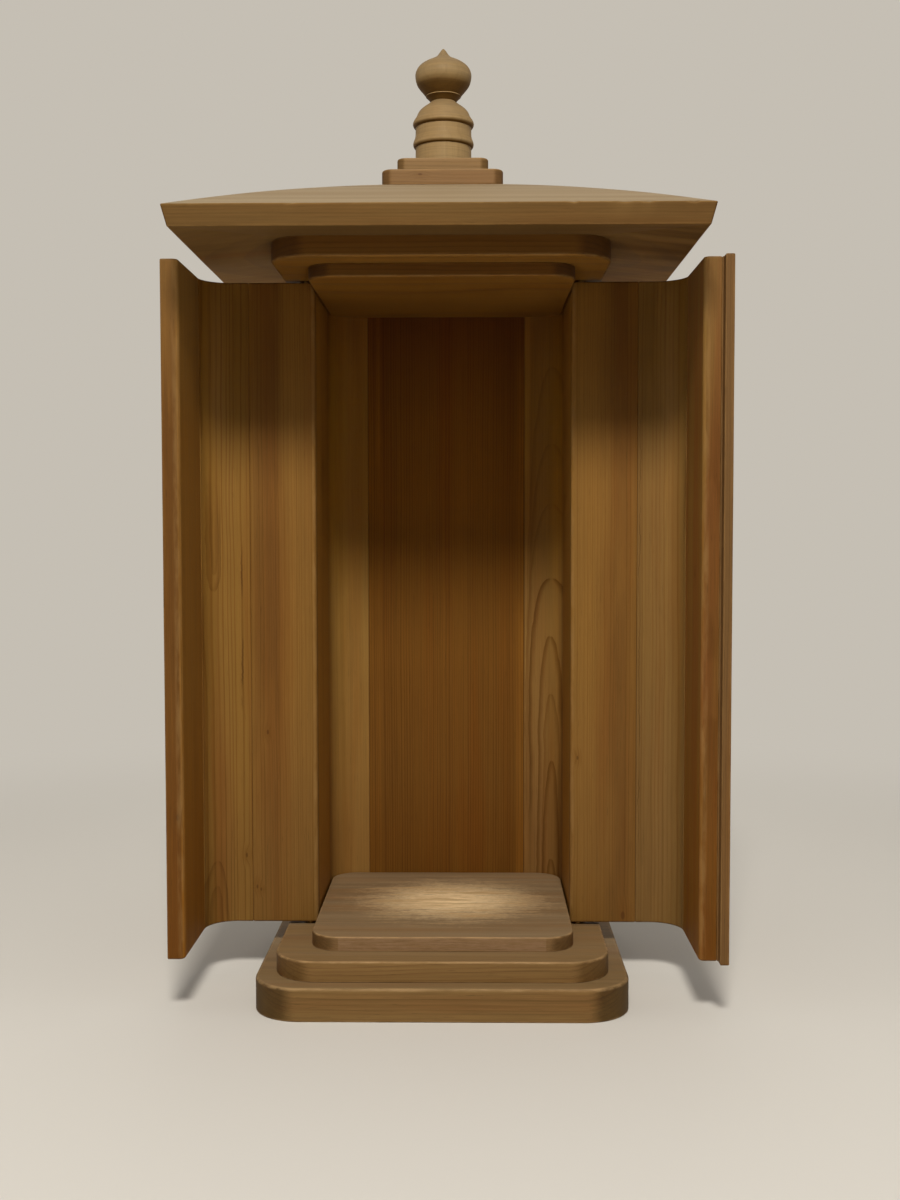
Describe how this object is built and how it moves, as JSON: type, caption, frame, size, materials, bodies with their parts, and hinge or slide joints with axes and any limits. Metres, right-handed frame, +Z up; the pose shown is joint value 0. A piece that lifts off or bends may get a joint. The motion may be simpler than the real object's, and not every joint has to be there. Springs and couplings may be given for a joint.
{
  "type": "buddhist shrine cabinet",
  "caption": "Small wooden shrine cabinet with a stepped base, a low hipped roof, a turned finial and wrap-around doors on hinge pins.",
  "frame": {"origin": "middle of the plinth's underside, in the vertical middle plane of the body", "axes": "+Z up, the open front looks to -Y, +X to the right of someone who faces the front"},
  "size_m": [0.2882, 0.264, 0.5216],
  "materials": {
    "base_wood": "bare aged cypress, horizontal grain",
    "floor_wood": "bare aged cypress, worn pale",
    "back_wood": "bare reddish heartwood, vertical grain",
    "corner_wood": "bare aged cypress, vertical grain",
    "wall_wood": "bare aged cypress, vertical grain",
    "door_wood": "bare aged cypress, vertical grain",
    "door_corner_wood": "bare aged cypress, coved from the solid",
    "strip_wood": "bare reddish cypress strip",
    "roof_wood": "bare aged cypress, horizontal grain",
    "finial_wood": "bare turned cypress",
    "pin_brass": "dull brass"
  },
  "bodies": {
    "cabinet": {"plinth_board": "base_wood", "step_board": "base_wood", "floor_board": "floor_wood", "ceiling_board": "floor_wood", "moulding_board": "base_wood", "back_wall": "back_wood", "back_corner_left": "corner_wood", "back_corner_right": "corner_wood", "side_wall_left": "wall_wood", "side_wall_right": "wall_wood", "roof": "roof_wood", "roof_plate_lower": "roof_wood", "roof_plate_upper": "roof_wood", "finial": "finial_wood"},
    "left_door": {"left_door_side": "door_wood", "left_door_corner": "door_corner_wood", "left_door_front": "door_wood", "left_hinge_pins": "pin_brass"},
    "right_door": {"right_door_side": "door_wood", "right_door_corner": "door_corner_wood", "right_door_front": "door_wood", "right_door_meeting_strip": "strip_wood", "right_hinge_pins": "pin_brass"}
  },
  "joints": [
    {"name": "left_door_hinge", "type": "hinge", "parent": "cabinet", "child": "left_door", "pos_m": [-0.076, -0.015, 0.0285], "axis": [0, 0, 1], "range_deg": [-10, 90]},
    {"name": "right_door_hinge", "type": "hinge", "parent": "cabinet", "child": "right_door", "pos_m": [0.076, -0.015, 0.0285], "axis": [0, 0, -1], "range_deg": [-10, 90]}
  ]
}
